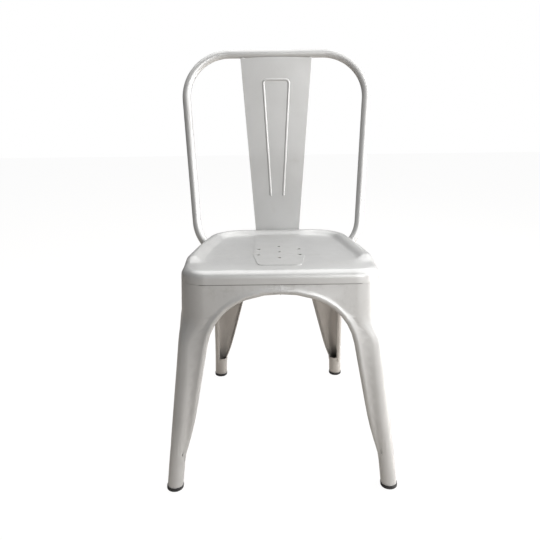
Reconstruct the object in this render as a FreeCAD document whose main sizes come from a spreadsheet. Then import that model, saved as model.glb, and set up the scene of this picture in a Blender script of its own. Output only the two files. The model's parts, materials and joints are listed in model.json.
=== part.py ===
import FreeCAD, Part
import math
import os

import Sketcher
from FreeCAD import Placement, Rotation, Vector

os.makedirs("parts", exist_ok=True)
doc = FreeCAD.newDocument("metal_bistro_chair")

# Driving dimensions, in millimetres and degrees. The front of the chair faces -Y, Z is up, and the floor is Z = 0.
SIZES = (
    ("sheet_wall", 1.5, "thickness of every steel stamping"),
    ("seam_gap", 0.3, "gap between two sheets that a weld joins"),
    ("fit_gap", 0.25, "clearance where one piece sits inside another"),
    ("seam_height", 414, "lower edge of the seat's skirt"),
    ("front_face", 208, "front apron, forward of the middle, at the seam"),
    ("front_face_lean", 5.06, "front apron leans out towards the floor"),
    ("rear_face", 146, "rear apron, behind the middle, at the seam"),
    ("rear_face_lean", 14.04, "rear apron leans out towards the floor"),
    ("side_face", 175.1, "side apron, out from the middle, at its own seam"),
    ("side_face_lean", 1.37, "side apron leans out towards the floor"),
    ("side_seam", -25, "place in Y of the weld between front and rear stampings"),
    ("side_taper_front", 7.18, "plan angle of the side forward of that weld"),
    ("side_taper_rear", 9.37, "plan angle of the side behind it, at the seam"),
    ("side_taper_foot", 4.11, "the same at the floor"),
    ("front_corner", 50, "plan radius of the seat's front corners"),
    ("rear_corner", 80, "plan radius of the seat's rear corners"),
    ("tube_radius", 15.75, "round lower end of each leg"),
    ("front_foot_x", 214.5, "front foot, out from the middle"),
    ("front_foot_y", 246.5, "front foot, forward of the middle"),
    ("rear_foot_x", 159.5, "rear foot, out from the middle"),
    ("rear_foot_y", 246.5, "rear foot, behind the middle"),
    ("ridge_radius", 23.7, "corner ridge of a leg where it starts"),
    ("ridge_drop", 119, "start of the full ridge below the seam"),
    ("ridge_fade", 64, "first sign of the ridge below the seam"),
    ("rear_ridge_proud", 4.5, "rear ridge stands out of the side apron"),
    ("front_tube_top", 72, "height of the closed tube of a front leg"),
    ("rear_tube_top", 60, "height of the closed tube of a rear leg"),
    ("arch_drop", 19, "crown of the front and side arches below the seam"),
    ("rear_arch_drop", 42, "crown of the rear arch below the seam"),
    ("arch_gauge", 157, "depth below the seam where the half openings are given"),
    ("crown_radius", 200, "flat top curve of the wide arches"),
    ("shoulder_radius", 114, "curve from the crown into the leg"),
    ("front_opening", 147.5, "half opening of the front arch"),
    ("front_leg_slope", 10.2, "inner edge of the front leg seen from the front"),
    ("side_opening_front", 148, "side arch forward of its weld"),
    ("side_slope_front", 9.65, "inner edge of the front leg seen from the side"),
    ("side_opening_rear", 163, "side arch behind its weld"),
    ("side_slope_rear", 17.2, "inner edge of the rear leg seen from the side"),
    ("rear_opening", 84.75, "half opening of the rear arch"),
    ("rear_leg_slope", 14.04, "inner edge of the rear leg seen from behind"),
    ("rear_crown_radius", 150, "top curve of the rear arch"),
    ("rear_shoulder_radius", 50, "curve from that crown into the leg"),
    ("front_foot_curve", 175, "height where the front inner edges start to curve to the tube"),
    ("rear_foot_curve", 125, "height where the rear inner edges start to curve to the tube"),
    ("bead_radius", 6.8, "rolled edge of the arches"),
    ("bead_rise", 3.2, "crest of the rolled edge above the sheet"),
    ("bead_slope", 24, "outer side of the rolled edge against the sheet"),
    ("bead_curl", 125, "how far the edge is rolled past its crest"),
    ("lip_height", 5, "joggled lip of the aprons inside the skirt"),
    ("rim_front_height", 450, "seat rim at the front"),
    ("rim_rear_height", 440, "seat rim at the back"),
    ("rim_roll", 9, "outer rounding of the rim"),
    ("rim_width", 5, "flat crest of the rim"),
    ("dish_depth", 9, "dish below the rim"),
    ("dish_slope", 22, "plan width of the slope from crest to dish"),
    ("front_roll", 14, "rounding of the front edge"),
    ("front_slope", 56, "plan depth of the gentle fall towards that edge"),
    ("front_fall", 1.5, "height of that fall"),
    ("tongue_rise", 0.9, "raised band on the dish in line with the splat"),
    ("tongue_half", 52.5, "half width of that band"),
    ("tongue_front_half", 42, "the same at its front end"),
    ("tongue_front", -167, "place in Y of that end"),
    ("tongue_shoulder", -90, "place in Y where the band starts to narrow"),
    ("tongue_rear", 112, "place in Y of its other end"),
    ("drain_radius", 4, "drain hole"),
    ("drain_circle", 49, "circle of the six outer drain holes"),
    ("drain_centre", -62, "place in Y of the middle drain hole"),
    ("hoop_radius", 9.4, "outer radius of the hoop's tube"),
    ("hoop_wall", 1.5, "wall of that tube"),
    ("hoop_top", 850, "height of the chair"),
    ("hoop_top_y", 187, "tube centre at the top, behind the middle"),
    ("hoop_lean", 19.2, "hoop leans back"),
    ("hoop_corner", 98.2, "centre-line radius of the top corners"),
    ("hoop_waist", 183.6, "tube centre out from the middle where the side starts"),
    ("hoop_waist_drop", 386, "height of that place below the tube's top centre, along the hoop"),
    ("hoop_spread", 4.35, "sides of the hoop spread upwards"),
    ("hoop_tuck", 38, "ends turn in towards the seat"),
    ("hoop_tuck_radius", 85, "radius of that bend"),
    ("hoop_return_radius", 35, "radius of the bend back, under the seat"),
    ("hoop_end_x", 149, "tube centre at the ends, out from the middle"),
    ("hoop_end_run", 12, "straight end of the tube"),
    ("hoop_hole_gap", 0.8, "clearance round the tube in the seat's rim"),
    ("splat_foot_height", 410, "bend between the splat and its foot"),
    ("splat_tab", 20, "length of the foot that lies on the rear apron"),
    ("splat_foot_half", 50.5, "half width of the splat at the bend"),
    ("splat_top_half", 81.5, "half width of the splat at the top"),
    ("splat_lap", 2.6, "crowned top edge in front of the hoop's tube"),
    ("splat_bend", 12, "inside radius of the bend at the foot"),
    ("emboss_rise", 1.4, "raised bead of the splat"),
    ("emboss_radius", 3.8, "radius of its section"),
    ("emboss_top", 784, "height of its top"),
    ("emboss_top_half", 30, "half width at its top"),
    ("emboss_foot", 519, "height of its lower ends"),
    ("emboss_foot_half", 15, "half width at its lower ends"),
    ("emboss_corner", 9, "corner radius"),
    ("brace_width", 25, "flat strip under the seat"),
    ("brace_wall", 2.5, "thickness of that strip"),
    ("brace_drop", 12, "upper strip's top below the seam"),
    ("brace_tab", 18, "end of a strip, turned down"),
    ("brace_set_back", 3.5, "clearance of that end inside the rounded corner"),
    ("cap_height", 8, "rubber band seen under the tube"),
    ("cap_proud", 0.8, "cap stands out of the tube"),
    ("cap_sole_up", 3, "rounding of the sole"),
    ("plug_length", 16, "plug of the cap inside the tube"),
)
sheet = doc.addObject("Spreadsheet::Sheet", "sizes")
for row, (alias, value, note) in enumerate(SIZES, start=1):
    sheet.set(f"A{row}", alias)
    sheet.set(f"B{row}", str(value))
    sheet.set(f"C{row}", note)
    sheet.setAlias(f"B{row}", alias)
doc.recompute()


def size(alias):
    return float(sheet.get(alias))


def slope(alias):
    return math.tan(math.radians(size(alias)))


SUBPARTS = []


def keep(feature, label):
    feature.Label = label
    SUBPARTS.append(feature)
    return feature


def shape_feature(name, shape):
    feature = doc.addObject("Part::Feature", name)
    feature.Shape = shape
    return feature


# The faces of the aprons. All four lean outwards below the seam, and the seat's skirt carries them on upwards.
def front_y(z):
    return -size("front_face") - slope("front_face_lean") * (size("seam_height") - z)


def rear_y(z):
    return size("rear_face") + slope("rear_face_lean") * (size("seam_height") - z)


def side_taper(y, z):
    if y < size("side_seam"):
        return slope("side_taper_front")
    share = (size("seam_height") - z) / size("seam_height")
    return slope("side_taper_rear") * (1 - share) + slope("side_taper_foot") * share


def side_x(y, z):
    drop = size("seam_height") - z
    return size("side_face") + slope("side_face_lean") * drop - side_taper(y, z) * (y - size("side_seam"))


def smooth(share):
    share = min(max(share, 0.0), 1.0)
    return share * share * (3 - 2 * share)


# An arch edge: a flat crown, a shoulder, the straight inner edge of the leg, and a curve that runs out on the tube.
class Arch:
    def __init__(self, crown, crown_radius, shoulder, opening, angle, curve_start, end_height, end_reach):
        self.tilt = math.radians(angle)
        self.crown_z = crown
        self.crown_radius = crown_radius
        self.shoulder = shoulder
        gauge = size("seam_height") - size("arch_gauge")
        spread = crown_radius - shoulder
        rest = opening - shoulder * math.cos(self.tilt)
        rest -= (crown - crown_radius + shoulder * math.sin(self.tilt) - gauge) * math.tan(self.tilt)
        self.turn = math.asin(rest * math.cos(self.tilt) / spread) - self.tilt
        self.shoulder_u = spread * math.sin(self.turn)
        self.shoulder_z = crown - crown_radius + spread * math.cos(self.turn)
        self.line_u = self.shoulder_u + shoulder * math.cos(self.tilt)
        self.line_z = self.shoulder_z + shoulder * math.sin(self.tilt)
        self.curve_z = curve_start
        self.curve_u = self.line_u + (self.line_z - curve_start) * math.tan(self.tilt)
        self.end_z = end_height
        fall = curve_start - end_height
        self.end_tilt = 2 * math.atan((end_reach - self.curve_u) / fall) - self.tilt
        self.foot_radius = fall / (math.sin(self.end_tilt) - math.sin(self.tilt))
        self.foot_u = self.curve_u + self.foot_radius * math.cos(self.tilt)
        self.foot_z = self.curve_z + self.foot_radius * math.sin(self.tilt)

    def reach(self, z):
        """Half opening at a height below the crown."""
        if z >= self.line_z:
            return self.shoulder_u + math.sqrt(max(self.shoulder ** 2 - (z - self.shoulder_z) ** 2, 0))
        if z >= self.curve_z:
            return self.line_u + (self.line_z - z) * math.tan(self.tilt)
        lean = math.asin((self.foot_z - z) / self.foot_radius)
        return self.foot_u - self.foot_radius * math.cos(lean)

    def stations(self, crown_count, shoulder_count, line_count, foot_count):
        """Points (u, z) and the direction of travel, from just past the weld down to the tube."""
        out = []
        lead = -size("bead_radius") / self.crown_radius
        for i in range(crown_count):
            turn = lead + (self.turn - lead) * i / crown_count
            out.append((self.crown_radius * math.sin(turn),
                        self.crown_z - self.crown_radius * (1 - math.cos(turn)), turn))
        last = math.pi / 2 - self.tilt
        for i in range(shoulder_count):
            turn = self.turn + (last - self.turn) * i / shoulder_count
            out.append((self.shoulder_u + self.shoulder * math.sin(turn),
                        self.shoulder_z + self.shoulder * math.cos(turn), turn))
        for i in range(line_count):
            z = self.line_z + (self.curve_z - self.line_z) * i / line_count
            out.append((self.reach(z), z, last))
        for i in range(foot_count + 1):
            tilt = self.tilt + (self.end_tilt - self.tilt) * i / foot_count
            out.append((self.foot_u - self.foot_radius * math.cos(tilt),
                        self.foot_z - self.foot_radius * math.sin(tilt), math.pi / 2 - tilt))
        return out

    def outline(self, inset, far):
        """Closed outline (u, z) of the opening, widened by inset into the sheet and open below the tube's top."""
        def at(u, z, turn, reach):
            return Vector(u + reach * math.sin(turn), 0, z + reach * math.cos(turn))
        crown_c, crown_r = (0, self.crown_z - self.crown_radius), self.crown_radius + inset
        shoulder_c, shoulder_r = (self.shoulder_u, self.shoulder_z), self.shoulder + inset
        last = math.pi / 2 - self.tilt
        lead = -4 * size("bead_radius") / self.crown_radius
        start = at(*crown_c, lead, crown_r)
        knee = at(*crown_c, self.turn, crown_r)
        foot_c, foot_r = (self.foot_u, self.foot_z), self.foot_radius - inset
        line_top = at(*shoulder_c, last, shoulder_r)
        line_low = at(*foot_c, last + math.pi, foot_r)
        mid_tilt = (self.tilt + self.end_tilt) / 2
        foot_mid = at(*foot_c, 1.5 * math.pi - mid_tilt, foot_r)
        foot_end = at(*foot_c, 1.5 * math.pi - self.end_tilt, foot_r)
        low = Vector(foot_end.x, 0, foot_end.z - far)
        corner = Vector(start.x, 0, low.z)
        return Part.Wire([
            Part.Arc(start, at(*crown_c, (lead + self.turn) / 2, crown_r), knee).toShape(),
            Part.Arc(knee, at(*shoulder_c, (self.turn + last) / 2, shoulder_r), line_top).toShape(),
            Part.makeLine(line_top, line_low),
            Part.Arc(line_low, foot_mid, foot_end).toShape(),
            Part.makeLine(foot_end, low),
            Part.makeLine(low, corner),
            Part.makeLine(corner, start),
        ])


# The pressed corners and rolled edges are fine polygons in section, so that the sheet stays light to mesh.
RIDGE_FACETS = 8
TUBE_FACETS = 16
ROLL_FACETS = 5


# One leg stamping on the right side of the chair: end is -1 for the front and 1 for the rear.
class Leg:
    def __init__(self, end):
        self.end = end
        self.name = "front" if end < 0 else "rear"
        self.foot = Vector(size(f"{self.name}_foot_x"), end * size(f"{self.name}_foot_y"), 0)
        self.corner = size(f"{self.name}_corner")
        self.tube_top = size(f"{self.name}_tube_top")
        self.tube = size("tube_radius")
        self.ridge_top = size("seam_height") - size("ridge_drop")
        self.fade_top = size("seam_height") - size("ridge_fade")
        proud = size("rear_ridge_proud") if end > 0 else 0.0
        face_y = self.face_y(self.ridge_top)
        self.lean_y = (self.foot.y + end * self.tube - face_y) / self.ridge_top
        ridge_y = face_y - end * size("ridge_radius")
        face_x = side_x(ridge_y, self.ridge_top) + proud
        self.lean_x = (self.foot.x + self.tube - face_x) / self.ridge_top
        self.lean = math.atan(math.hypot(self.lean_x, self.lean_y))
        top = self.tube_centre(self.tube_top)
        nip = self.tube + size("sheet_wall")
        curve = size(f"{self.name}_foot_curve")
        seam = size("seam_height")
        crown = seam - size("arch_drop")
        wide = (size("crown_radius"), size("shoulder_radius"))
        narrow = (size("rear_crown_radius"), size("rear_shoulder_radius"))
        if end < 0:
            face = (crown, *wide, size("front_opening"), size("front_leg_slope"))
        else:
            face = (seam - size("rear_arch_drop"), *narrow, size("rear_opening"), size("rear_leg_slope"))
        flank = (crown, *wide, size(f"side_opening_{self.name}"), size(f"side_slope_{self.name}"))
        self.face_arch = Arch(*face, curve, self.tube_top, top.x - nip)
        side_reach = end * (top.y - size("side_seam")) - nip
        self.side_arch = Arch(*flank, curve, self.tube_top, side_reach)

    def face_y(self, z):
        return front_y(z) if self.end < 0 else rear_y(z)

    def tube_centre(self, z):
        return Vector(self.foot.x - self.lean_x * z, self.foot.y - self.lean_y * z, z)

    def ridge(self, z):
        """Radius and centre of the rounded corner at a height."""
        share = smooth((self.fade_top - z) / (self.fade_top - self.ridge_top))
        fall = min(max((self.ridge_top - z) / (self.ridge_top - self.tube_top), 0.0), 1.0)
        low_radius = self.tube + (size("ridge_radius") - self.tube) * (1 - fall * fall)
        radius = self.corner * (1 - share) + low_radius * share
        cy = self.face_y(z) - self.end * radius
        cx = side_x(cy, z) - radius * math.hypot(1, side_taper(cy, z))
        axis = self.tube_centre(z)
        low = Vector(axis.x + self.tube - radius, axis.y + self.end * (self.tube - radius), z)
        return radius, Vector(cx, cy, z) * (1 - share) + low * share

    def edge_point(self, z, on_side):
        """A point of the sheet at its arch edge, or at the weld where the apron is whole."""
        arch = self.side_arch if on_side else self.face_arch
        reach = arch.reach(z) if z < self.fade_top else 0.0
        if on_side:
            y = size("side_seam") + self.end * reach
            return Vector(side_x(y + self.end * 0.001, z), y, z)
        return Vector(reach, self.face_y(z), z)

    def wing(self, z, on_side, inset=0.0):
        """Where the flat wing leaves the ridge at a height: touch point, direction to the edge, outward normal."""
        radius, centre = self.ridge(z)
        edge = self.edge_point(z, on_side)
        away = edge - centre
        base = math.atan2(away.y, away.x)
        swing = math.acos(radius / away.Length)
        turn = base + (self.end if on_side else -self.end) * swing
        normal = Vector(math.cos(turn), math.sin(turn), 0)
        touch = centre + normal * (radius - inset)
        inner_edge = edge - normal * inset
        return touch, (inner_edge - touch).normalize(), normal, inner_edge

    def section(self, z, extend, inset=0.0):
        """Closed thin section: wing, ridge, wing, and the same again one sheet thickness inside."""
        radius, centre = self.ridge(z)
        loop = []
        for depth in (inset, inset + size("sheet_wall")):
            (touch_a, along_a, normal_a, edge_a), (touch_b, along_b, normal_b, edge_b) = (
                self.wing(z, on_side, depth) for on_side in (False, True))
            start = math.atan2(normal_a.y, normal_a.x)
            end = math.atan2(normal_b.y, normal_b.x)
            row = [edge_a + along_a * extend]
            for i in range(RIDGE_FACETS + 1):
                turn = start + (end - start) * i / RIDGE_FACETS
                row.append(centre + Vector(math.cos(turn), math.sin(turn), 0) * (radius - depth))
            row.append(edge_b + along_b * extend)
            loop += row if depth == inset else row[::-1]
        return Part.makePolygon(loop + loop[:1])

    def skin(self):
        """The stamped sheet from the seam down to the tube, before its arches are cut."""
        past_weld = 5.0
        whole = ((size("seam_height") - size("seam_gap"), past_weld), (self.fade_top, past_weld))
        heights = list(whole)
        for top, low, steps in ((self.fade_top, self.ridge_top, 4), (self.ridge_top, self.tube_top, 6)):
            heights += [(top + (low - top) * i / steps, 0.0) for i in range(1, steps + 1)]
        return Part.makeLoft([self.section(z, extend) for z, extend in heights], True, True)

    def lip(self):
        """The joggled lip that stands inside the seat's skirt."""
        wall, gap = size("sheet_wall"), size("fit_gap")
        seam = size("seam_height")
        heights = ((seam - 12, wall - 0.7), (seam - 3, wall + gap), (seam + size("lip_height"), wall + gap))
        return Part.makeLoft([self.section(z, 5.0, inset) for z, inset in heights], True, True)

    def prism(self, on_side, inset):
        """The opening of an arch as a solid that is wide enough to cut the sheet."""
        arch = self.side_arch if on_side else self.face_arch
        outline = arch.outline(inset, 40.0)
        face = Part.Face(outline)
        if on_side:
            face.rotate(Vector(), Vector(0, 0, 1), 90 * self.end)
            face.translate(Vector(60, size("side_seam"), 0))
            return face.extrude(Vector(300, 0, 0))
        face.translate(Vector(0, self.end * 60, 0))
        return face.extrude(Vector(0, self.end * 300, 0))

    def bead_profile(self, origin, into, normal, scale):
        """Section of the rolled edge: a slope up from the sheet, the crest, and the roll round to the back."""
        wall = size("sheet_wall")
        radius = size("bead_radius") * scale
        rise = size("bead_rise") * scale
        tilt = math.radians(size("bead_slope"))
        curl = math.radians(90 + size("bead_curl"))
        start = math.pi / 2 - tilt

        def at(w, n):
            return origin + into * w + normal * n

        def ramp(r, depth):
            w, n = radius + r * math.cos(start), rise - radius + r * math.sin(start)
            fall = n + depth + 0.2
            return at(w + fall / math.tan(tilt), n - fall)

        loop = []
        for r, depth in ((radius, 0.0), (radius - wall, wall)):
            row = [ramp(r, depth)]
            for i in range(ROLL_FACETS + 1):
                turn = start + (curl - start) * i / ROLL_FACETS
                row.append(at(radius + r * math.cos(turn), rise - radius + r * math.sin(turn)))
            loop += row if r == radius else row[::-1]
        return Part.makePolygon(loop + loop[:1])

    def bead(self, on_side):
        """The rolled edge along one arch, which shrinks where it runs out on the tube."""
        arch = self.side_arch if on_side else self.face_arch
        seam = size("side_seam")
        profiles = []
        stations = arch.stations(2, 6, 3, 4)
        for u, z, turn in stations:
            u_step, z_step = math.cos(turn), -math.sin(turn)
            if on_side:
                y = seam + self.end * u
                here = Vector(side_x(y, z), y, z)
                y_next = y + self.end * u_step
                travel = Vector(side_x(y_next, z + z_step), y_next, z + z_step) - here
                slant = side_x(y, z - 1) - side_x(y, z)
            else:
                here = Vector(u, self.face_y(z), z)
                travel = Vector(u_step, self.face_y(z + z_step) - self.face_y(z), z_step)
                slant = self.end * (self.face_y(z - 1) - self.face_y(z))
            flat = self.wing(min(z, size("seam_height")), on_side)[2]
            normal = (flat + Vector(0, 0, slant)).normalize()
            travel.normalize()
            into = travel.cross(normal)
            if into.z < 0 and z > arch.line_z or into.x * (0 if on_side else 1) < 0 and z <= arch.line_z:
                into = into * -1
            if on_side and z <= arch.line_z and into.y * self.end < 0:
                into = into * -1
            into.normalize()
            normal = (normal - travel * normal.dot(travel)).normalize()
            low = smooth((arch.curve_z - z) / (arch.curve_z - arch.end_z))
            profiles.append(self.bead_profile(here, into, normal, 1 - 0.35 * low))
        run_out = 14.0
        here = here + self.tube_centre(self.tube_top - run_out) - self.tube_centre(self.tube_top) + into * 1.2
        profiles.append(self.bead_profile(here, into, normal, 0.3))
        return Part.makeLoft(profiles, True, True)

    def rod(self, radius, low, high):
        """A round bar on the leg's leaning axis, cut level at both heights."""
        start, end = self.tube_centre(low - radius), self.tube_centre(high + radius)
        bar = Part.makeCylinder(radius, (end - start).Length, start, end - start)
        slab = Part.makeBox(8 * radius, 8 * radius, high - low, self.tube_centre(low) - Vector(4, 4, 0) * radius)
        return bar.common(slab)

    def tube_ring(self):
        """The round foot of the leg. The facets of the ridge run on down it."""
        start, end = (math.atan2(n.y, n.x) for n in (self.wing(self.tube_top, side)[2] for side in (False, True)))
        turns = [start + (end - start) * i / RIDGE_FACETS for i in range(RIDGE_FACETS)]
        rest = start + math.copysign(2 * math.pi, end - start) - end
        turns += [end + rest * i / TUBE_FACETS for i in range(TUBE_FACETS)]
        walls = []
        for radius in (self.tube, self.tube - size("sheet_wall")):
            rings = []
            for z in (size("cap_height"), self.tube_top):
                ring = [self.tube_centre(z) + Vector(math.cos(t), math.sin(t), 0) * radius for t in turns]
                rings.append(Part.makePolygon(ring + ring[:1]))
            walls.append(Part.makeLoft(rings, True, True))
        return walls[0].cut(walls[1])

    def bounds(self):
        """The quarter of the chair that this stamping may fill, up to half the weld gap."""
        gap = size("seam_gap") / 2
        reach = 400.0
        seam = size("side_seam") + self.end * gap
        corner = Vector(gap, seam if self.end > 0 else seam - reach, 0)
        return Part.makeBox(reach, reach, size("rim_front_height"), corner)

    def stamping(self):
        trim = 1.15 * size("bead_radius")
        sheet_metal = self.skin()
        sheet_metal = sheet_metal.cut([self.prism(False, trim), self.prism(True, trim)])
        quarter = self.bounds()
        pieces = [piece.common(quarter) for piece in (self.bead(False), self.bead(True), self.lip())]
        return sheet_metal.common(quarter).fuse(pieces + [self.tube_ring()])


front_leg = Leg(-1)
rear_leg = Leg(1)


# Small helpers for the features that follow.
def body(name, placement=Placement(), base=None):
    made = doc.addObject("PartDesign::Body", name)
    made.Placement = placement
    if base is not None:
        made.BaseFeature = base
    return made


def sketch_on(owner, name, role="XY_Plane", offset=Placement()):
    made = owner.newObject("Sketcher::SketchObject", name)
    datum = [part for part in owner.Origin.OriginFeatures if part.Role == role][0]
    made.AttachmentSupport = (datum, [""])
    made.MapMode = "FlatFace"
    made.AttachmentOffset = offset
    return made


def lines(target, points, closed=True):
    """Straight edges through flat points, joined end to end."""
    ends = points[1:] + points[:1] if closed else points[1:]
    for start, end in zip(points, ends):
        target.addGeometry(Part.LineSegment(Vector(*start), Vector(*end)), False)


def bent(target, knots, closed=False):
    """An outline through knots (x, y, radius), with each corner rounded by its radius."""
    flat = [Vector(x, y, 0) for x, y, _ in knots]
    count = len(knots)
    cuts = []
    for i, (x, y, radius) in enumerate(knots):
        here = flat[i]
        if radius == 0 or (not closed and i in (0, count - 1)):
            cuts.append((here, None, here))
            continue
        back = (flat[i - 1] - here).normalize()
        ahead = (flat[(i + 1) % count] - here).normalize()
        half = back.getAngle(ahead) / 2
        reach = radius / math.tan(half)
        inward = (back + ahead).normalize()
        middle = here + inward * (radius / math.sin(half) - radius)
        cuts.append((here + back * reach, middle, here + ahead * reach))
    for i, (start, middle, end) in enumerate(cuts):
        if middle is not None:
            target.addGeometry(Part.Arc(start, middle, end), False)
        if i < count - 1 or closed:
            ahead = cuts[(i + 1) % count][0]
            if (ahead - end).Length > 1e-6:
                target.addGeometry(Part.LineSegment(end, ahead), False)


# The hoop: one tube in a plane that leans back, with its ends tucked in under the seat.
def hoop_knots():
    """Corners of the hoop's centre line in its own plane, from the right end over the top to the left end."""
    spread = math.radians(size("hoop_spread"))
    tuck = math.radians(size("hoop_tuck"))
    waist = Vector(size("hoop_waist"), -size("hoop_waist_drop"), 0)
    top_x = waist.x + size("hoop_waist_drop") * math.tan(spread)
    bend = size("hoop_tuck_radius") * math.tan((tuck - spread) / 2)
    knee = waist - Vector(math.sin(spread), math.cos(spread), 0) * bend
    end_x = size("hoop_end_x")
    ankle_y = knee.y - (knee.x - end_x) / math.tan(tuck)
    end_y = ankle_y - size("hoop_return_radius") * math.tan(tuck / 2) - size("hoop_end_run")
    right = [
        (end_x, end_y, 0),
        (end_x, ankle_y, size("hoop_return_radius")),
        (knee.x, knee.y, size("hoop_tuck_radius")),
        (top_x, 0, size("hoop_corner")),
    ]
    return right + [(-x, y, radius) for x, y, radius in reversed(right)]


hoop_frame = Placement(
    Vector(0, size("hoop_top_y"), size("hoop_top") - size("hoop_radius")),
    Rotation(Vector(1, 0, 0), 90 - size("hoop_lean")),
)


def tube_along_hoop(name, radius, wall):
    """A pipe feature on the hoop's centre line, hollow where it has a wall."""
    owner = body(name, hoop_frame)
    spine = sketch_on(owner, f"{name}_path")
    knots = hoop_knots()
    bent(spine, knots)
    end_x, end_y, _ = knots[0]
    start = Placement(Vector(0, 0, -end_y), Rotation())
    ring = sketch_on(owner, f"{name}_ring", "XZ_Plane", start)
    for i, expression in enumerate(("hoop_radius", "hoop_radius - sizes.hoop_wall")[:2 if wall else 1]):
        ring.addGeometry(Part.Circle(Vector(end_x, 0, 0), Vector(0, 0, 1), radius - i * size("hoop_wall")), False)
        if wall:
            ring.addConstraint(Sketcher.Constraint("Radius", i, radius - i * size("hoop_wall")))
            ring.setExpression(f"Constraints[{i}]", f"sizes.{expression}")
    doc.recompute()
    pipe = owner.newObject("PartDesign::AdditivePipe", f"{name}_pipe")
    pipe.Profile = ring
    pipe.Spine = (spine, [f"Edge{i + 1}" for i in range(len(spine.Geometry))])
    doc.recompute()
    return owner


hoop = keep(tube_along_hoop("hoop", size("hoop_radius"), True), "back_hoop")
hoop_room = tube_along_hoop("hoop_room", size("hoop_radius") + size("hoop_hole_gap"), False)


# The four legs. Each left stamping mirrors the right one.
def mirrored(name, source):
    made = doc.addObject("Part::Mirroring", name)
    made.Source = source
    made.Normal = Vector(1, 0, 0)
    return made


front_right = shape_feature("front_right", front_leg.stamping())
rear_sheet = shape_feature("rear_sheet", rear_leg.stamping())
rear_right = doc.addObject("Part::Cut", "rear_right")
rear_right.Base = rear_sheet
rear_right.Tool = hoop_room
keep(front_right, "front_right_leg")
keep(mirrored("front_left", front_right), "front_left_leg")
keep(rear_right, "rear_right_leg")
keep(mirrored("rear_left", rear_right), "rear_left_leg")


# The seat pan: skirt, rolled rim, dish and rounded front edge as one pressed sheet, lofted through closed loops.
CORNER_STEPS = 6
FADE_STEPS = 4
FADE_LENGTH = 40.0
LEAST_CORNER = 18.0
STATIONS = 2 * CORNER_STEPS + FADE_STEPS + 4


def rim_height(y):
    share = (y + 210.0) / 355.0
    return size("rim_front_height") * (1 - share) + size("rim_rear_height") * share


def corner_shift(leg, z, inset, first, last):
    """Radius of a corner at an inset, its centre, and how far that centre has moved inwards."""
    radius, centre = leg.ridge(z)
    inner = max(radius - inset, LEAST_CORNER)
    a = Vector(-math.cos(first), -math.sin(first), 0)
    b = Vector(-math.cos(last), -math.sin(last), 0)
    move = (a + b) * ((inset + inner - radius) / (1 + a.dot(b)))
    return inner, centre + move, move


def station(i, z, front_inset, side_inset):
    """A point of the right half at a height and its share of the front's profile, counted from the front."""
    front_side = math.atan(slope("side_taper_front"))
    rear_side = math.atan(side_taper(0, z))
    seam = size("side_seam")
    if i <= CORNER_STEPS:
        radius, centre, _ = corner_shift(front_leg, z, front_inset, -math.pi / 2, front_side)
        turn = -math.pi / 2 + (front_side + math.pi / 2) * i / CORNER_STEPS
        return centre + Vector(math.cos(turn), math.sin(turn), 0) * radius, 1.0
    if i <= CORNER_STEPS + FADE_STEPS:
        _, _, move = corner_shift(front_leg, z, front_inset, -math.pi / 2, front_side)
        radius, centre = front_leg.ridge(z)
        outward = Vector(math.cos(front_side), math.sin(front_side), 0)
        along = Vector(-outward.y, outward.x, 0)
        part = (i - CORNER_STEPS) / FADE_STEPS
        share = 1 - smooth(part)
        first = move.dot(along)
        inset = front_inset * share + side_inset * (1 - share)
        return centre + outward * (radius - inset) + along * (first + (FADE_LENGTH - first) * part), share
    if i == CORNER_STEPS + FADE_STEPS + 1:
        return Vector(side_x(seam, z) - side_inset, seam, z), 0.0
    radius, centre, _ = corner_shift(rear_leg, z, side_inset, rear_side, math.pi / 2)
    step = i - (CORNER_STEPS + FADE_STEPS + 2)
    turn = rear_side + (math.pi / 2 - rear_side) * step / (CORNER_STEPS + 1)
    return centre + Vector(math.cos(turn), math.sin(turn), 0) * radius, 0.0


def rim_steps(depth):
    """Profile of the sides and the back as inset, drop from the rim and sink of the lower side."""
    roll, width, dish = size("rim_roll"), size("rim_width"), size("dish_depth")
    run = size("dish_slope")
    side = [(0, None, 0.0), (0, -roll, 0.0)]
    side += [(roll * (1 - math.cos(t)), -roll * (1 - math.sin(t)), t) for t in map(math.radians, (30, 60, 90))]
    flat = math.pi / 2
    side += [(roll + width, 0.0, flat)]
    for share, fall, lean in ((0.25, 0.16, 0.3), (0.5, 0.5, 0.45), (0.75, 0.84, 0.3), (1.0, 1.0, 0.0)):
        side.append((roll + width + run * share, -dish * fall, flat + lean))
    side.append((roll + width + run + 20, -dish, flat))
    return [(inset + depth * math.cos(turn), drop, -depth * math.sin(turn)) for inset, drop, turn in side]


def front_steps(depth):
    """Profile of the front edge as inset and drop from the dish: one roll, then a gentle climb to the dish."""
    roll, slope_end, fall = size("front_roll"), size("front_slope"), size("front_fall")
    front = [(depth, None)]
    for turn in map(math.radians, (0, 18, 36, 54, 72, 90)):
        front.append((roll - (roll - depth) * math.cos(turn), (roll - depth) * math.sin(turn) - roll - fall))
    for share in (1 / 3, 2 / 3, 1):
        climb = fall * math.sin(share * math.pi / 2)
        front.append((roll + (slope_end - roll) * share, climb - fall - depth))
    front.append((slope_end + 4, -depth))
    return front


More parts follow.
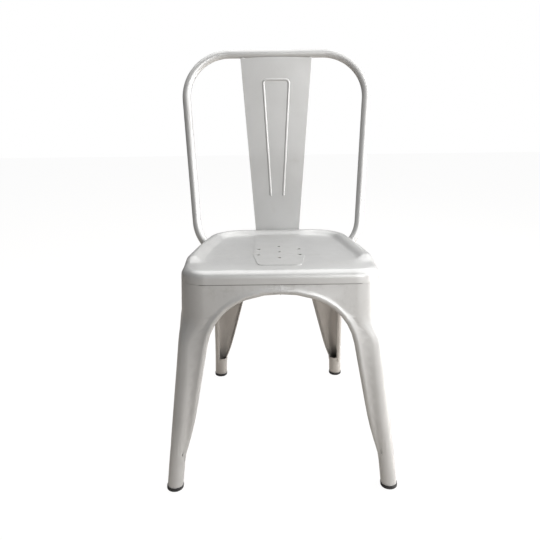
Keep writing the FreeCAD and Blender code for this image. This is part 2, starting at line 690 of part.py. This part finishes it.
def pan_surface(depth, foot):
    """A solid under the pan's upper side, or under its lower side where a depth is given."""
    low = size("seam_height") - foot
    loops = []
    for (side_inset, drop, sink), (front_inset, front_drop) in zip(rim_steps(depth), front_steps(depth)):
        def height(y, share):
            if drop is None:
                return low
            rim = rim_height(y)
            return (rim - size("dish_depth") + front_drop) * share + (rim + drop + sink) * (1 - share)

        loop = []
        for i in range(STATIONS):
            place, share = station(i, low, front_inset, side_inset)
            for _ in range(3):
                place, share = station(i, height(place.y, share), front_inset, side_inset)
            loop.append(Vector(place.x, place.y, height(place.y, share)))
        mirror = [Vector(-v.x, v.y, v.z) for v in reversed(loop)]
        loops.append(Part.makePolygon(loop + mirror + loop[:1]))
    return Part.makeLoft(loops, True, True)


pan_outer = shape_feature("pan_outer", pan_surface(0.0, 0.0))
pan_inner = shape_feature("pan_inner", pan_surface(size("sheet_wall"), 1.0))
pan_shell = doc.addObject("Part::Cut", "pan_shell")
pan_shell.Base = pan_outer
pan_shell.Tool = pan_inner
pan_pierced = doc.addObject("Part::Cut", "pan_pierced")
pan_pierced.Base = pan_shell
pan_pierced.Tool = hoop_room
doc.recompute()

seat = body("seat", base=pan_pierced)
doc.recompute()
dish_tilt = math.degrees(math.atan(rim_height(1) - rim_height(0)))
dish_middle = rim_height(0) - size("dish_depth")
tongue_foot = Placement(
    Vector(0, 0, dish_middle + size("tongue_rise") - size("sheet_wall")), Rotation(Vector(1, 0, 0), dish_tilt))
tongue_outline = sketch_on(seat, "tongue_outline", offset=tongue_foot)
half, front_half = size("tongue_half"), size("tongue_front_half")
tongue_knots = [
    (half, size("tongue_rear"), 6),
    (half, size("tongue_shoulder"), 60),
    (front_half, size("tongue_front"), 12),
]
bent(tongue_outline, tongue_knots + [(-x, y, radius) for x, y, radius in reversed(tongue_knots)], closed=True)
doc.recompute()
tongue = seat.newObject("PartDesign::Pad", "tongue")
tongue.Profile = tongue_outline
tongue.setExpression("Length", "sizes.sheet_wall")
doc.recompute()

above_dish = Placement(Vector(0, 0, size("seam_height")), Rotation())
middle_hole = sketch_on(seat, "middle_hole", offset=above_dish)
middle_hole.addGeometry(Part.Circle(Vector(0, size("drain_centre"), 0), Vector(0, 0, 1), size("drain_radius")), False)
middle_hole.addConstraint(Sketcher.Constraint("Radius", 0, size("drain_radius")))
middle_hole.setExpression("Constraints[0]", "sizes.drain_radius")
middle_hole.addConstraint(Sketcher.Constraint("DistanceY", 0, 3, -1, 1, -size("drain_centre")))
middle_hole.setExpression("Constraints[1]", "-sizes.drain_centre")
outer_hole = sketch_on(seat, "outer_hole", offset=above_dish)
first_y = size("drain_centre") + size("drain_circle")
outer_hole.addGeometry(Part.Circle(Vector(0, first_y, 0), Vector(0, 0, 1), size("drain_radius")), False)
outer_hole.addConstraint(Sketcher.Constraint("Radius", 0, size("drain_radius")))
outer_hole.setExpression("Constraints[0]", "sizes.drain_radius")
doc.recompute()
for name, profile in (("middle_drain", middle_hole), ("outer_drain", outer_hole)):
    pocket = seat.newObject("PartDesign::Pocket", name)
    pocket.Profile = profile
    pocket.Type = 0
    pocket.Length = 60
    pocket.Reversed = True
    doc.recompute()
circle_axis = sketch_on(seat, "circle_axis", offset=above_dish)
circle_axis.addGeometry(Part.Point(Vector(0, size("drain_centre"), 0)), True)
circle_axis.AttachmentOffset = Placement(Vector(0, size("drain_centre"), size("seam_height")), Rotation())
doc.recompute()
drains = seat.newObject("PartDesign::PolarPattern", "drains")
drains.Originals = [pocket]
drains.Axis = (circle_axis, ["N_Axis"])
drains.Angle = 360
drains.Occurrences = 6
seat.Tip = drains
doc.recompute()
keep(seat, "seat_pan")


# The splat: one strip that stands behind the seat, bent at the foot to lie on the rear apron.
splat_shoulder = size("hoop_top") - 2 * size("hoop_radius")


def splat_side(gap):
    """Front face of the splat seen from the side, as (y, z): top, bend and end of the foot."""
    foot_z = size("splat_foot_height")
    foot_y = rear_y(foot_z) + gap
    touch = math.sqrt(size("hoop_radius") ** 2 - (size("hoop_radius") - size("splat_lap")) ** 2)
    lap_y = size("hoop_top_y") - touch - size("sheet_wall") - gap
    rise = splat_shoulder + size("splat_lap") - foot_z
    spare = 6.0
    top = (foot_y + (lap_y - foot_y) * (rise + spare) / rise, foot_z + rise + spare)
    lean = math.radians(size("rear_face_lean"))
    tab = (foot_y + size("splat_tab") * math.sin(lean), foot_z - size("splat_tab") * math.cos(lean))
    return top, (foot_y, foot_z), tab


def sheet_strip(path, wall, radius):
    """Knots of a bent strip of sheet: along its front face, and back along its rear face."""
    flat = [Vector(x, y, 0) for x, y in path]
    knots = []
    for side in (0.0, wall):
        row = []
        for i, here in enumerate(flat):
            back = here - flat[i - 1] if i else flat[1] - here
            ahead = flat[i + 1] - here if i < len(flat) - 1 else back
            across = [Vector(-v.y, v.x, 0).normalize() for v in (back, ahead)]
            shift = (across[0] + across[1]) * (side / (1 + across[0].dot(across[1])))
            bend = 0 if i in (0, len(flat) - 1) else radius + wall - side
            row.append((here.x + shift.x, here.y + shift.y, bend))
        knots += row if side == 0 else row[::-1]
    return knots


splat = body("splat")
splat_top, splat_bend, splat_end = splat_side(size("fit_gap"))
profile = sketch_on(splat, "splat_profile", "YZ_Plane")
bent(profile, sheet_strip([splat_top, splat_bend, splat_end], size("sheet_wall"), size("splat_bend")), closed=True)
doc.recompute()
strip = splat.newObject("PartDesign::Pad", "splat_strip")
strip.Profile = profile
strip.Midplane = True
strip.setExpression("Length", "2 * sizes.splat_top_half + 12")
doc.recompute()

# Everything outside the tapered outline is cut away, up to the gently crowned top.
trim = sketch_on(splat, "splat_outline", "XZ_Plane")
foot_half, top_half = size("splat_foot_half"), size("splat_top_half")
bottom_z = size("splat_foot_height") - 2 * size("splat_tab")
outline = [(top_half, splat_shoulder), (foot_half, size("splat_foot_height")), (foot_half, bottom_z)]
outline += [(-x, z) for x, z in reversed(outline)]
lines(trim, outline, closed=False)
crown = Part.Arc(
    Vector(-top_half, splat_shoulder, 0),
    Vector(0, splat_shoulder + size("splat_lap"), 0),
    Vector(top_half, splat_shoulder, 0),
)
trim.addGeometry(crown, False)
far = top_half + 20
lines(trim, [(-far, bottom_z - 20), (far, bottom_z - 20), (far, splat_shoulder + 40), (-far, splat_shoulder + 40)])
doc.recompute()
cut_out = splat.newObject("PartDesign::Pocket", "splat_trimmed")
cut_out.Profile = trim
cut_out.Type = 1
cut_out.Midplane = True
doc.recompute()

# The raised bead of the splat follows an inverted U. The same path is hollowed from behind.
lean_slope = (splat_top[0] - splat_bend[0]) / (splat_top[1] - splat_bend[1])
lean = math.degrees(math.atan(lean_slope))
base_z = size("splat_foot_height")
base_y = splat_bend[0]
on_splat = Placement(Vector(0, base_z, -base_y), Rotation(Vector(1, 0, 0), -lean))
stretch = 1 / math.cos(math.radians(lean))
low_y = (size("emboss_foot") - base_z) * stretch
high_y = (size("emboss_top") - base_z) * stretch
route = [(-size("emboss_foot_half"), low_y, 0), (-size("emboss_top_half"), high_y, size("emboss_corner"))]
route += [(-x, y, r) for x, y, r in reversed(route)]
for kind, label, deep, thin in (("Additive", "emboss", 0.75, 0.0), ("Subtractive", "emboss_hollow", 2.0, 1.2)):
    way = sketch_on(splat, f"{label}_path", "XZ_Plane", on_splat)
    bent(way, route)
    foot_y = base_y + (size("emboss_foot") - base_z) * lean_slope
    at_foot = Placement(Vector(0, foot_y, size("emboss_foot")), Rotation(Vector(1, 0, 0), -lean))
    ring = sketch_on(splat, f"{label}_section", offset=at_foot)
    radius = size("emboss_radius") - thin
    centre_y = size("emboss_radius") - size("emboss_rise")
    half = math.sqrt(radius ** 2 - (deep - centre_y) ** 2)
    middle = Vector(-size("emboss_foot_half"), 0, 0)
    ends = [middle + Vector(x, deep, 0) for x in (-half, half)]
    ring.addGeometry(Part.Arc(ends[0], middle + Vector(0, centre_y - radius, 0), ends[1]), False)
    ring.addGeometry(Part.LineSegment(ends[1], ends[0]), False)
    doc.recompute()
    pipe = splat.newObject(f"PartDesign::{kind}Pipe", label)
    pipe.Profile = ring
    pipe.Spine = (way, [f"Edge{i + 1}" for i in range(len(way.Geometry))])
    doc.recompute()
keep(splat, "back_splat")


# Two flat strips cross under the seat from corner to corner, with their ends turned down.
def brace_end(leg):
    """Middle of a strip's end inside the corner above a leg."""
    radius, centre = leg.ridge(size("seam_height") - size("brace_drop"))
    reach = radius - size("sheet_wall") - size("brace_set_back")
    return Vector(centre.x, centre.y, 0) + Vector(1, leg.end, 0).normalize() * reach


brace_front, brace_rear = brace_end(front_leg), brace_end(rear_leg)
for label, sign, drop in (("brace_upper", 1, 0.0), ("brace_lower", -1, size("brace_wall") + size("fit_gap"))):
    start = Vector(sign * brace_front.x, brace_front.y, 0)
    end = Vector(-sign * brace_rear.x, brace_rear.y, 0)
    middle = (start + end) / 2
    middle.z = size("seam_height") - size("brace_drop") - drop
    heading = math.degrees(math.atan2((start - end).y, (start - end).x))
    strip_body = body(label, Placement(middle, Rotation(Vector(0, 0, 1), heading)))
    run = (start - end).Length / 2
    outline = sketch_on(strip_body, f"{label}_side", "XZ_Plane")
    path = [(run, -size("brace_tab")), (run, 0), (-run, 0), (-run, -size("brace_tab"))]
    bent(outline, sheet_strip(path, size("brace_wall"), 2.0), closed=True)
    doc.recompute()
    pad = strip_body.newObject("PartDesign::Pad", f"{label}_strip")
    pad.Profile = outline
    pad.Midplane = True
    pad.setExpression("Length", "sizes.brace_width")
    doc.recompute()
    keep(strip_body, label)


# A rubber cap on each foot: a band round the tube, a plug inside it and a rounded sole.
def cap_shape(leg):
    top = size("cap_height")
    band = leg.rod(size("tube_radius") + size("cap_proud"), 0.0, top)
    sole = [edge for edge in band.Edges if edge.BoundBox.ZMax < 0.5]
    band = band.makeFillet(size("cap_sole_up"), sole)
    inner = (size("tube_radius") - size("sheet_wall")) * math.cos(leg.lean) - 2 * size("fit_gap")
    return band.fuse(leg.rod(inner, top / 2, top + size("plug_length")))


for leg in (front_leg, rear_leg):
    right = shape_feature(f"cap_{leg.name}", cap_shape(leg))
    keep(right, f"foot_{leg.name}_right")
    keep(mirrored(f"cap_{leg.name}_left", right), f"foot_{leg.name}_left")
doc.recompute()


# Each kept feature is checked, then written as its own file.
for feature in SUBPARTS:
    flaws = {"Invalid", "Error"} & set(feature.State)
    if flaws or feature.Shape.isNull() or not feature.Shape.isValid():
        raise RuntimeError(f"{feature.Label} is not sound")
    feature.Shape.exportStep(f"parts/{feature.Label}.step")
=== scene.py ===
import json
import math

import bpy
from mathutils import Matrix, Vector

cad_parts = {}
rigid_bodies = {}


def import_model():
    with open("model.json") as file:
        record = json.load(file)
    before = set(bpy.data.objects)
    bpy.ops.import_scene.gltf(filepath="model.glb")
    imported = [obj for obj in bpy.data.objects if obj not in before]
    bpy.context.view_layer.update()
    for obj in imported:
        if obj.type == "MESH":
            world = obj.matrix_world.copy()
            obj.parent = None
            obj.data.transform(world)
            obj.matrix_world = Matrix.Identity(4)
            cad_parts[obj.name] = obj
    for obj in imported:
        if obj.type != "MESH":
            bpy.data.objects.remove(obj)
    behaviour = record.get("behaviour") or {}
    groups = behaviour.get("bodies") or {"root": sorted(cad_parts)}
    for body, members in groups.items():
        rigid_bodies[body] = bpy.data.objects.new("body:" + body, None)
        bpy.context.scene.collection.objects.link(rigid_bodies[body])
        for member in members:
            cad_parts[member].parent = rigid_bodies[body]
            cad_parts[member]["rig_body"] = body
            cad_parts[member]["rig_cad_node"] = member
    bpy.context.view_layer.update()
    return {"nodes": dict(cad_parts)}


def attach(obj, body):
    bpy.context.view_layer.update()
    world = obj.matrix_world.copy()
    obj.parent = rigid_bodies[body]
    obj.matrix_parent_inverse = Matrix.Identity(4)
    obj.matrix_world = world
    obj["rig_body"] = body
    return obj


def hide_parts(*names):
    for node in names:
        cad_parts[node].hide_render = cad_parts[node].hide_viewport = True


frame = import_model()


# The front legs. Each is one pressed steel sheet that forms half of the front apron, half of a side apron and
# the leg itself, with a ridge down the corner and a rolled edge along both arches. It is welded to its
# neighbours and finished, like the whole chair, in a silver lacquer over bare steel.
class Wire:
    """A shader value. Arithmetic on it adds Math nodes."""

    def __init__(self, tree, socket=None):
        self.tree = tree
        self.socket = socket

    def add(self, kind, settings, inputs, output=0):
        node = self.tree.nodes.new(kind)
        for name, value in settings.items():
            setattr(node, name, value)
        for name, value in inputs.items():
            if isinstance(value, Wire):
                self.tree.links.new(value.socket, node.inputs[name])
            else:
                node.inputs[name].default_value = value
        return Wire(self.tree, node.outputs[output])

    def math(self, operation, *values):
        return self.add("ShaderNodeMath", {"operation": operation}, dict(enumerate(values)))

    def __add__(self, other):
        return self.math("ADD", self, other)

    def __radd__(self, other):
        return self.math("ADD", other, self)

    def __sub__(self, other):
        return self.math("SUBTRACT", self, other)

    def __rsub__(self, other):
        return self.math("SUBTRACT", other, self)

    def __mul__(self, other):
        return self.math("MULTIPLY", self, other)

    def highest(self, other):
        return self.math("MAXIMUM", self, other)

    def noise(self, scale, detail, rough=0.5):
        return self.add(
            "ShaderNodeTexNoise", {}, {"Vector": self, "Scale": scale, "Detail": detail, "Roughness": rough})

    def between(self, low, high):
        """0 below low, 1 above high, and a smooth step from one to the other."""
        settings = {"interpolation_type": "SMOOTHSTEP"}
        return self.add("ShaderNodeMapRange", settings, {"Value": self, "From Min": low, "From Max": high})

    def blend(self, share, other):
        """This colour with a share of another."""
        settings = {"data_type": "RGBA"}
        return self.add("ShaderNodeMix", settings, {0: share, 6: self, 7: other}, output=2)

    def axis(self, name):
        return self.add("ShaderNodeSeparateXYZ", {}, {0: self}, output=name)


SILVER = (0.50, 0.50, 0.494, 1.0)
DULL_SILVER = (0.40, 0.397, 0.388, 1.0)
TARNISH = (0.22, 0.165, 0.115, 1.0)
FLAKE = (0.72, 0.715, 0.70, 1.0)
CLOUD_SCALE = 9.0
FLAKE_SCALE = 2600.0
PEEL_SCALE = 420.0
PEEL_DEPTH = 0.00012
STAIN_SCALE = 22.0
LACQUER_ROUGH = 0.4
LACQUER_METAL = 0.45
COAT_SHARE = 0.25
COAT_ROUGH = 0.3


def silver_lacquer(name, marks=None):
    """Silver lacquer: soft clouds, fine metal flake, orange peel and a brown tint where dirt has settled."""
    material = bpy.data.materials.new(name)
    material.use_nodes = True
    tree = material.node_tree
    shader = tree.nodes["Principled BSDF"]
    start = Wire(tree)
    place = start.add("ShaderNodeTexCoord", {}, {}, output="Object")
    clouds = place.noise(CLOUD_SCALE, 3.0).between(0.35, 0.7)
    flake = place.noise(FLAKE_SCALE, 1.0)
    peel = place.noise(PEEL_SCALE, 2.0, 0.6)
    stain = place.noise(STAIN_SCALE, 5.0, 0.62).between(0.6, 0.82)
    base = start.add("ShaderNodeRGB", {}, {})
    base.socket.default_value = SILVER
    colour = base.blend(clouds * 0.45, DULL_SILVER)
    colour = colour.blend(flake.between(0.5, 0.8) * 0.25, FLAKE)
    colour = colour.blend(stain * 0.16, TARNISH)
    rough = LACQUER_ROUGH + clouds * 0.07 + flake * 0.05 + stain * 0.12
    height = peel * 0.5 + flake * 0.1
    if marks:
        colour, rough, height = marks(place, colour, rough, height)
    bump = start.add(
        "ShaderNodeBump", {}, {"Strength": 0.25, "Distance": PEEL_DEPTH, "Height": height}, output="Normal")
    tree.links.new(colour.socket, shader.inputs["Base Color"])
    tree.links.new(rough.socket, shader.inputs["Roughness"])
    tree.links.new(bump.socket, shader.inputs["Normal"])
    shader.inputs["Metallic"].default_value = LACQUER_METAL
    shader.inputs["Coat Weight"].default_value = COAT_SHARE
    shader.inputs["Coat Roughness"].default_value = COAT_ROUGH
    return material


JOIN_REACH = 1e-5
SHEET_CREASE = 38
SMOOTH_CREASE = 40
CAP_CREASE = 50


def from_cad(node, sharp_above):
    """A copy of a CAD node with its triangles joined up, shaded smooth except over sharp edges."""
    bpy.ops.object.select_all(action="DESELECT")
    source = frame["nodes"][node]
    source.select_set(True)
    bpy.context.view_layer.objects.active = source
    bpy.ops.object.duplicate()
    piece = bpy.context.object
    piece.parent = None
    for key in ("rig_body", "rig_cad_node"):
        del piece[key]
    piece.name = f"{node}_shell"
    bpy.ops.mesh.customdata_custom_splitnormals_clear()
    bpy.ops.object.mode_set(mode="EDIT")
    bpy.ops.mesh.select_all(action="SELECT")
    bpy.ops.mesh.remove_doubles(threshold=JOIN_REACH)
    bpy.ops.object.mode_set(mode="OBJECT")
    bpy.ops.object.shade_smooth_by_angle(angle=math.radians(sharp_above))
    even = piece.modifiers.new("even_shading", "WEIGHTED_NORMAL")
    even.keep_sharp = True
    bpy.ops.object.modifier_apply(modifier=even.name)
    piece.data.materials.clear()
    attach(piece, "root")
    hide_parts(node)
    return piece


SEAM_HEIGHT = 0.414
SEAM_HALF = 0.0004
SEAM_SOFT = 0.0005
SEAM_END = 0.150
END_SOFT = 0.006
SEAM_SHADOW = (0.10, 0.095, 0.09, 1.0)
FRONT_FACE = (-0.206, -0.202)
GROUND_PATCH = 0.022
GROUND_SOFT = 0.016
GROUND_SCALE = 300.0
CROWN_HEIGHT = 0.385
SOOT_FOOT = 0.36
SOOT_TOP = SEAM_HEIGHT - 0.004
SOOT_SOFT = 0.02
SOOT_SCALE = 55.0
SOOT = (0.30, 0.292, 0.275, 1.0)
REAR_HALF = (0.02, 0.06)
# Painted shade on the rear legs: the height where it fades out and its warm brown.
PAINTED_REAR_SHADE_TOP = (0.30, 0.42)
PAINTED_REAR_SHADE = (0.42, 0.37, 0.315, 1.0)


def shade_of(place, low, high, soft):
    """1 where a coordinate lies between two values, with soft ends."""
    return place.between(low - soft, low) * (1 - place.between(high, high + soft))


def apron_marks(place, colour, rough, height):
    """The dark seam under the skirt, the ground weld in the middle, soot, and a painted warm shade low on the
    rear legs.
    """
    x, y, z = (place.axis(name) for name in "XYZ")
    on_front = 1 - y.between(*FRONT_FACE)
    seam = shade_of(z, SEAM_HEIGHT - SEAM_HALF, SEAM_HEIGHT + SEAM_HALF, SEAM_SOFT)
    seam = seam * shade_of(x, -SEAM_END, SEAM_END, END_SOFT)
    weld = shade_of(x, -GROUND_PATCH, GROUND_PATCH, GROUND_SOFT)
    weld = weld * shade_of(z, CROWN_HEIGHT, SEAM_HEIGHT, END_SOFT) * on_front
    weld = weld * place.noise(GROUND_SCALE, 4.0, 0.7).between(0.42, 0.62)
    soot = place.noise(SOOT_SCALE, 4.0, 0.6).between(0.5, 0.75)
    soot = soot * shade_of(z, SOOT_FOOT, SOOT_TOP, SOOT_SOFT) * on_front
    # Painted shade: the rear legs are darkened towards warm brown below a height, standing in for shade and
    # warm light bounced up from the floor.
    dust_and_painted_shade = y.between(*REAR_HALF) * (1 - z.between(*PAINTED_REAR_SHADE_TOP))
    colour = colour.blend(weld * 0.45, DULL_SILVER)
    colour = colour.blend(soot * 0.3, SOOT)
    colour = colour.blend(dust_and_painted_shade * 0.35, PAINTED_REAR_SHADE)
    colour = colour.blend(seam * on_front * 0.75, SEAM_SHADOW)
    return colour, rough + weld * 0.15, height + weld * 2.0


leg_lacquer = silver_lacquer("leg_lacquer", apron_marks)
for node in ("front_left_leg", "front_right_leg"):
    leg = from_cad(node, SHEET_CREASE)
    leg.data.materials.append(leg_lacquer)


# The welds. The joints between neighbouring stampings are filled with weld metal and ground flush with the
# aprons. Each strip follows its apron's lean.
WELD_WIDTH = 0.0014
WELD_DEPTH = 0.0013
weld_lacquer = silver_lacquer("weld_lacquer")
welds = (
    ("front_weld", (0, -0.2083, 0.4037), (-5.06, 0, 0), 0.0198),
    ("rear_weld", (0, 0.1478, 0.3925), (14.04, 0, 0), 0.0430),
    ("left_weld", (-0.1747, -0.025, 0.4037), (0, 1.37, 90), 0.0198),
    ("right_weld", (0.1747, -0.025, 0.4037), (0, -1.37, 90), 0.0198),
)
for name, middle, lean, length in welds:
    bpy.ops.object.select_all(action="DESELECT")
    bpy.ops.mesh.primitive_cube_add(size=1.0, location=middle)
    weld = bpy.context.object
    weld.name = name
    weld.scale = (WELD_WIDTH, WELD_DEPTH, length)
    weld.rotation_euler = [math.radians(angle) for angle in lean]
    bpy.ops.object.transform_apply(location=True, rotation=True, scale=True)
    weld.data.materials.append(weld_lacquer)
    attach(weld, "root")


# The rear legs. They are pressed from sheet like the front ones and lean back further, with a narrower arch
# between them. They are welded to the front stampings in the middle of each side.
for node in ("rear_left_leg", "rear_right_leg"):
    leg = from_cad(node, SHEET_CREASE)
    leg.data.materials.append(leg_lacquer)


# The feet. A moulded black rubber cap is pushed into the tube at the end of each leg, where its plug grips the
# wall. Only a low band and the rounded sole stay in sight.
CAP_BLACK = (0.016, 0.016, 0.017, 1.0)
CAP_DUST = (0.09, 0.085, 0.08, 1.0)
CAP_DUST_SCALE = 160.0
CAP_GRAIN_SCALE = 1400.0
CAP_GRAIN_DEPTH = 0.0002
CAP_ROUGH = 0.6


def black_rubber():
    """Matt black rubber with a fine grain and a little dust."""
    material = bpy.data.materials.new("black_rubber")
    material.use_nodes = True
    tree = material.node_tree
    shader = tree.nodes["Principled BSDF"]
    start = Wire(tree)
    place = start.add("ShaderNodeTexCoord", {}, {}, output="Object")
    dust_and_painted_shade = place.noise(CAP_DUST_SCALE, 4.0, 0.6).between(0.45, 0.8)
    grain = place.noise(CAP_GRAIN_SCALE, 2.0)
    black = start.add("ShaderNodeRGB", {}, {})
    black.socket.default_value = CAP_BLACK
    colour = black.blend(dust_and_painted_shade * 0.35, CAP_DUST)
    rough = CAP_ROUGH + dust_and_painted_shade * 0.2
    bump = start.add(
        "ShaderNodeBump", {}, {"Strength": 0.4, "Distance": CAP_GRAIN_DEPTH, "Height": grain}, output="Normal")
    tree.links.new(colour.socket, shader.inputs["Base Color"])
    tree.links.new(rough.socket, shader.inputs["Roughness"])
    tree.links.new(bump.socket, shader.inputs["Normal"])
    return material


cap_rubber = black_rubber()
for node in ("foot_front_left", "foot_front_right", "foot_rear_left", "foot_rear_right"):
    cap = from_cad(node, CAP_CREASE)
    cap.data.materials.append(cap_rubber)


# The braces. Two flat steel strips cross under the seat and stiffen it. Their ends are turned down and welded
# into the corners between the aprons.
brace_lacquer = silver_lacquer("brace_lacquer")
for node in ("brace_lower", "brace_upper"):
    brace = from_cad(node, SHEET_CREASE)
    brace.data.materials.append(brace_lacquer)


# The seat pan. One steel sheet is pressed into a dish with a rolled rim and a rounded front edge, and pierced
# with seven drain holes. Its skirt stands on the aprons, and the dish is polished by use.
DISH_HEIGHT = 0.4351
DISH_FALL = 0.0282
DISH_SCUFFED = (0.425, 0.432)
SCUFF_SCALE = 38.0
DISH_POLISHED = (0.428, 0.432)
DRAIN_CENTRE = -0.062
DRAIN_REACH = 0.056
DRAIN_EDGE = (DISH_HEIGHT - 0.0009, DISH_HEIGHT - 0.0004)
DRAIN_SHADOW = (0.03, 0.03, 0.03, 1.0)
SKIRT_EDGE = (SEAM_HEIGHT + 0.0003, SEAM_HEIGHT + 0.0012)
SKIRT_SHADOW = (0.12, 0.115, 0.11, 1.0)


def seat_marks(place, colour, rough, height):
    """Scuffs in the dish, dark edges of the drain holes and a dark seam at the skirt's lower edge."""
    x, y, z = (place.axis(name) for name in "XYZ")
    on_front = 1 - y.between(*FRONT_FACE)
    seam = 1 - z.between(*SKIRT_EDGE)
    seam = seam * shade_of(x, -SEAM_END, SEAM_END, END_SOFT)
    scuffs = place.noise(SCUFF_SCALE, 5.0, 0.7).between(0.52, 0.75) * z.between(*DISH_SCUFFED)
    behind = y - DRAIN_CENTRE
    distance_squared = x * x + behind * behind
    drains = 1 - distance_squared.between(DRAIN_REACH ** 2, DRAIN_REACH ** 2 * 1.1)
    below = 1 - (z + y * DISH_FALL).between(*DRAIN_EDGE)
    colour = colour.blend(scuffs * 0.22, DULL_SILVER)
    colour = colour.blend(drains * below * 0.85, DRAIN_SHADOW)
    colour = colour.blend(seam * on_front * 0.7, SKIRT_SHADOW)
    return colour, rough - z.between(*DISH_POLISHED) * 0.06 + scuffs * 0.1, height


seat = from_cad("seat_pan", SMOOTH_CREASE)
seat.data.materials.append(silver_lacquer("seat_lacquer", seat_marks))


# The hoop. One round steel tube is bent to carry the back. Its ends go through holes in the seat's rim and are
# welded inside the rear corners.
hoop = from_cad("back_hoop", SMOOTH_CREASE)
hoop.data.materials.append(silver_lacquer("hoop_lacquer"))


# The splat. One flat strip with a pressed bead runs from the rear apron, where its bent foot is welded, to
# the top of the hoop, which its upper edge laps. Two small weld tacks hold its upper corners to the tube.
splat = from_cad("back_splat", SMOOTH_CREASE)
splat.data.materials.append(silver_lacquer("splat_lacquer"))

TACK_X = 0.0775
TACK_Y = 0.1835
TACK_Z = 0.8318
TACK_RADIUS = 0.0028
TACK_STRETCH = (1.9, 1.0, 0.9)
for name, side in (("splat_tack_left", -1), ("splat_tack_right", 1)):
    bpy.ops.object.select_all(action="DESELECT")
    corner = (side * TACK_X, TACK_Y, TACK_Z)
    bpy.ops.mesh.primitive_uv_sphere_add(segments=24, ring_count=12, radius=TACK_RADIUS, location=corner)
    tack = bpy.context.object
    tack.name = name
    tack.scale = TACK_STRETCH
    bpy.ops.object.transform_apply(location=True, rotation=True, scale=True)
    bpy.ops.object.shade_smooth()
    tack.data.materials.append(weld_lacquer)
    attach(tack, "root")


# The floor. A studio floor that shows white to the camera and keeps the chair's shadow. Its own warm grey is
# mainly seen by the chair, which picks up a little of it from below.
FLOOR_SIZE = 12.0
FLOOR_DROP = 0.0005
FLOOR_GREY = (0.48, 0.44, 0.40, 1.0)
FLOOR_GLOW = 1.09
GLOW_SHARE = 0.88
bpy.ops.mesh.primitive_plane_add(size=FLOOR_SIZE, location=(0, 0, -FLOOR_DROP))
floor = bpy.context.object
floor.name = "floor"


def pale_floor():
    """Warm grey that glows white for the camera."""
    material = bpy.data.materials.new("pale_floor")
    material.use_nodes = True
    tree = material.node_tree
    shader = tree.nodes["Principled BSDF"]
    shader.inputs["Base Color"].default_value = FLOOR_GREY
    shader.inputs["Roughness"].default_value = 0.9
    start = Wire(tree)
    seen = start.add("ShaderNodeLightPath", {}, {}, output="Is Camera Ray")
    glow = start.add("ShaderNodeEmission", {}, {"Color": (1, 1, 1, 1), "Strength": FLOOR_GLOW}, output=0)
    output = tree.nodes["Material Output"]
    mix = start.add("ShaderNodeMixShader", {}, {0: seen * GLOW_SHARE})
    mixer = mix.socket.node
    tree.links.new(shader.outputs["BSDF"], mixer.inputs[1])
    tree.links.new(glow.socket, mixer.inputs[2])
    tree.links.new(mix.socket, output.inputs["Surface"])
    return material


floor.data.materials.append(pale_floor())


# The studio light. White walls, a soft window close on the right, a wide one above and a weak one in
# front. The walls on the left are dim to the lacquer, so that its left faces stay dark.
WALL_LIGHT = 0.15
LEFT_WALL = 0.04
WALL_RISE = 0.42
WALL_TURN = (-0.45, 0.75)
world = bpy.data.worlds.new("studio")
bpy.context.scene.world = world
world.use_nodes = True
sky = Wire(world.node_tree)
path = {name: sky.add("ShaderNodeLightPath", {}, {}, output=f"Is {name} Ray")
        for name in ("Camera", "Glossy", "Transmission")}
shown = path["Camera"].highest(path["Transmission"])
heading = sky.add("ShaderNodeTexCoord", {}, {}, output="Generated")
reflected = LEFT_WALL + heading.axis("X").between(*WALL_TURN) * WALL_RISE
shown = shown.highest(path["Glossy"] * reflected)
strength = WALL_LIGHT + shown * (1 - WALL_LIGHT)
background = world.node_tree.nodes["Background"]
background.inputs["Color"].default_value = (1, 1, 1, 1)
world.node_tree.links.new(strength.socket, background.inputs["Strength"])


def soft_window(name, centre, target, width, height, watts):
    """A rectangular area lamp turned towards a point."""
    bpy.ops.object.light_add(type="AREA", location=centre)
    lamp = bpy.context.object
    lamp.name = name
    lamp.rotation_euler = (Vector(target) - Vector(centre)).to_track_quat("-Z", "Y").to_euler()
    lamp.data.shape = "RECTANGLE"
    lamp.data.size = width
    lamp.data.size_y = height
    lamp.data.energy = watts


CHAIR_MIDDLE = (0, 0, 0.4)
SEAT_MIDDLE = (0, 0, 0.45)
soft_window("right_window", (1.7, 0.1, 0.8), CHAIR_MIDDLE, 1.2, 1.6, 53)
soft_window("front_window", (1.1, -2.1, 1.2), CHAIR_MIDDLE, 1.4, 1.4, 34)
soft_window("top_window", (0.3, 0.4, 2.3), SEAT_MIDDLE, 3.6, 3.2, 70)


# The camera stands in front of the chair, a little below the top of its back, and looks down on the
# seat.
CAMERA_PLACE = (-0.0192, -1.25076, 0.76284)
CAMERA_PITCH = 17.057
CAMERA_ROLL = -0.6726
CAMERA_LENS = 39.259
CAMERA_SENSOR = 36.0
bpy.ops.object.camera_add(location=CAMERA_PLACE, rotation=(math.radians(90 - CAMERA_PITCH), 0, 0))
camera = bpy.context.object
camera.rotation_euler.rotate_axis("Z", math.radians(CAMERA_ROLL))
camera.data.lens = CAMERA_LENS
camera.data.sensor_width = CAMERA_SENSOR
bpy.context.scene.camera = camera
bpy.context.scene.view_settings.view_transform = "Standard"
